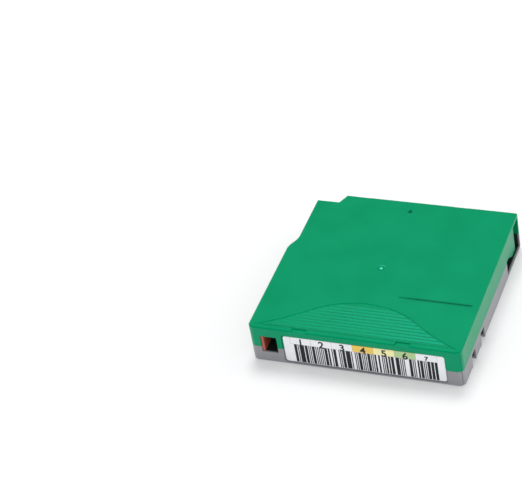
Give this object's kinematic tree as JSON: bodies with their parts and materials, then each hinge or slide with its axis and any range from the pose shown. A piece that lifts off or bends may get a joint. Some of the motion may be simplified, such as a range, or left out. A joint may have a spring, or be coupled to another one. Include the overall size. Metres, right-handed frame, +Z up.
{
  "type": "data tape cartridge",
  "caption": "Thin square two-part plastic cartridge round a reel of data tape, with a sprung access door, a write-protect slider, a locked hub and a leader pin.",
  "frame": {"origin": "centre of the flat underside, halfway across the width and the depth", "axes": "+X right seen from the label side, +Y towards the edge that enters the drive first, +Z up"},
  "size_m": [0.1054, 0.102, 0.0215],
  "materials": {
    "shell_green": "moulded, fine satin",
    "shell_grey": "moulded, fine satin",
    "screw_steel": "plated",
    "door_green": "moulded, fine satin",
    "spring_steel": "drawn wire",
    "slider_red": "moulded",
    "hub_plastic": "moulded",
    "flange_clear": "clear, polished",
    "clutch_steel": "stamped",
    "release_plastic": "moulded",
    "brake_plastic": "moulded",
    "tape": "smooth film",
    "pin_steel": "turned",
    "clamp_plastic": "moulded",
    "board": "lacquered",
    "chip": "moulded",
    "label_paper": "satin film"
  },
  "bodies": {
    "case": {"top_shell": "shell_green", "bottom_shell": "shell_grey", "shell_screws": "screw_steel", "door_spring": "spring_steel", "brake_spring": "spring_steel", "pin_springs": "spring_steel", "leader_tape": "tape", "leader_pin": "pin_steel", "tape_clamp": "clamp_plastic", "memory_board": "board", "memory_chip": "chip", "rear_label": "label_paper"},
    "door": {"access_door": "door_green"},
    "slider": {"write_protect_slider": "slider_red"},
    "reel": {"reel_hub": "hub_plastic", "upper_flange": "flange_clear", "clutch_plate": "clutch_steel", "tape_pack": "tape"},
    "release": {"release_plate": "release_plastic"},
    "brake": {"brake_button": "brake_plastic"}
  },
  "joints": [
    {"name": "door_slide", "type": "slide", "parent": "case", "child": "door", "axis": [0, -1, 0], "range_m": [0, 0.0175], "stiffness_N_per_m": 20, "springref_m": -0.008, "deforming": ["door_spring"]},
    {"name": "write_protect_slide", "type": "slide", "parent": "case", "child": "slider", "axis": [1, 0, 0], "range_m": [0, 0.0062]},
    {"name": "reel_spin", "type": "hinge", "parent": "case", "child": "reel", "pos_m": [0, 0, 0.0107], "axis": [0, 0, 1], "continuous": true},
    {"name": "brake_lift", "type": "slide", "parent": "case", "child": "brake", "axis": [0, 0, 1], "range_m": [0, 0.0018], "stiffness_N_per_m": 200, "springref_m": -0.003, "deforming": ["brake_spring"]},
    {"name": "release_lift", "type": "slide", "parent": "reel", "child": "release", "axis": [0, 0, 1], "range_m": [0, 0.0018]}
  ],
  "couplings": [
    {"joint": "release_lift", "follows": "brake_lift", "ratio": 1}
  ]
}
